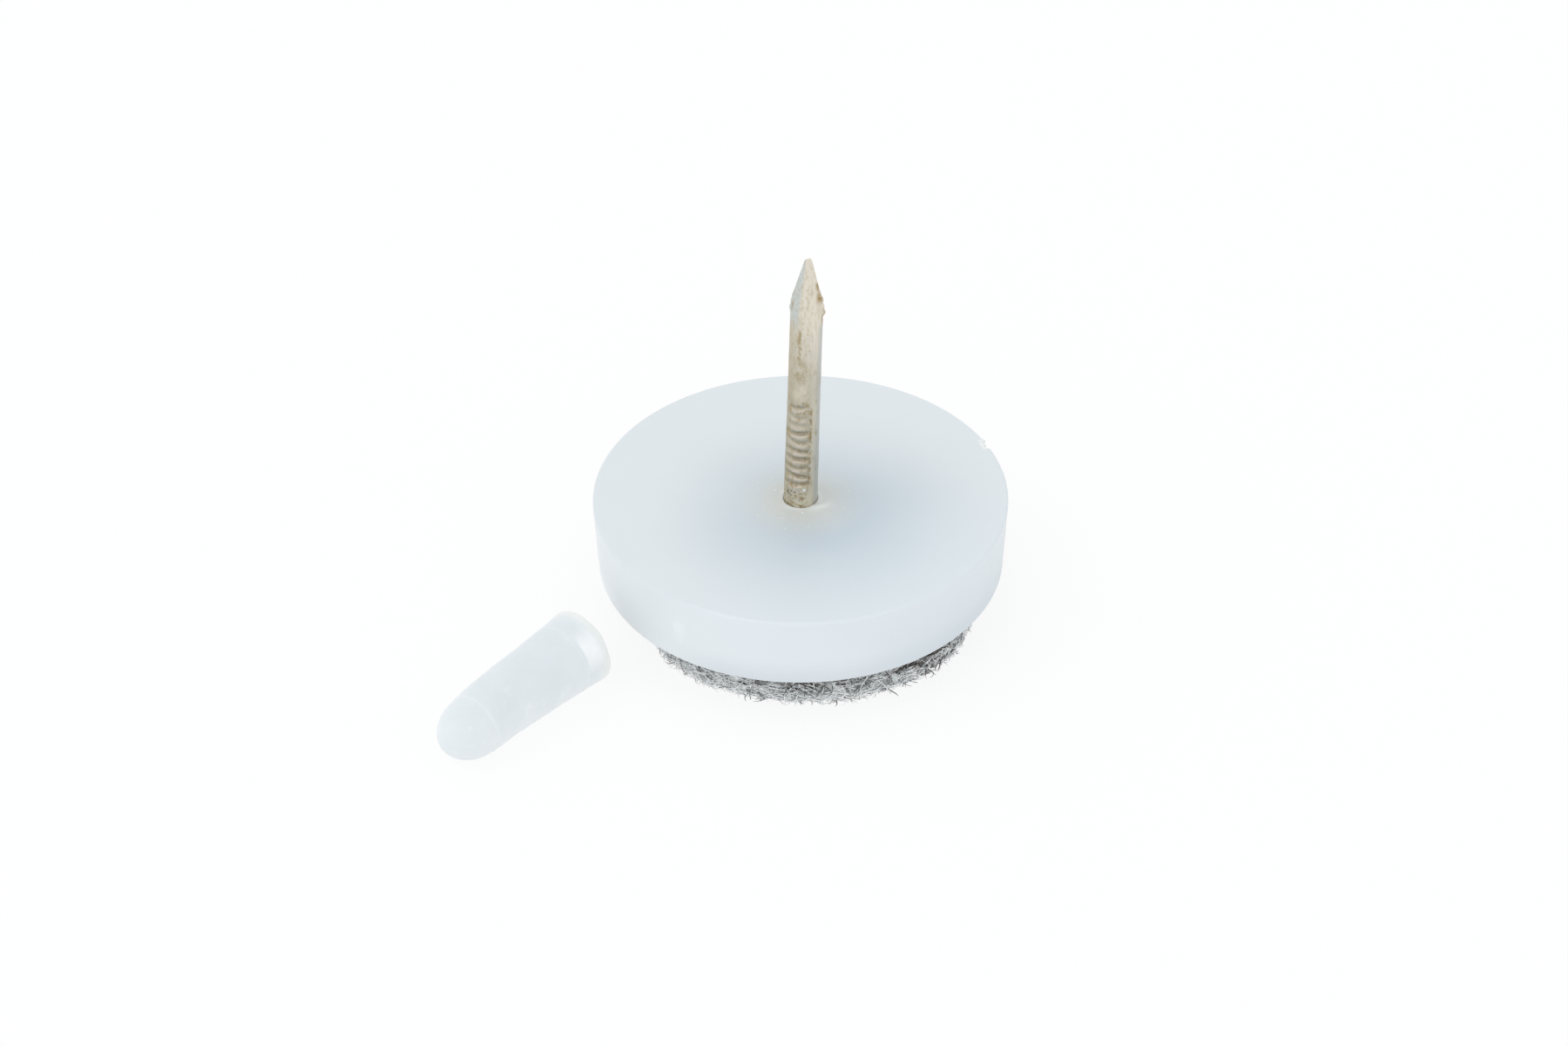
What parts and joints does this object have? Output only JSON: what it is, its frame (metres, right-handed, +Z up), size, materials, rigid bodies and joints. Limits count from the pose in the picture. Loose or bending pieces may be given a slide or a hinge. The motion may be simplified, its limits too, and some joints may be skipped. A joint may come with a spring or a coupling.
{
  "type": "nail-on furniture glide",
  "caption": "Round milky plastic furniture glide with a felt pad let into its underside, a central nail to drive into a leg, and the nail's blind cap lying beside it.",
  "frame": {"origin": "on the disc's axis, on the felt's underside, which stands on the floor", "axes": "+Z up out of the leg seat, along the nail, and the nail leans slightly towards +X; the cap lies towards -X and -Y"},
  "size_m": [0.0384, 0.0331, 0.0282],
  "materials": {
    "milky_plastic": "moulded satin",
    "wool_felt": "mottled wool felt",
    "plated_steel": "aged zinc plate",
    "cap_plastic": "moulded translucent"
  },
  "bodies": {
    "root": {"glide_base": "milky_plastic", "felt_pad": "wool_felt", "nail": "plated_steel", "nail_cap": "cap_plastic"}
  },
  "joints": []
}
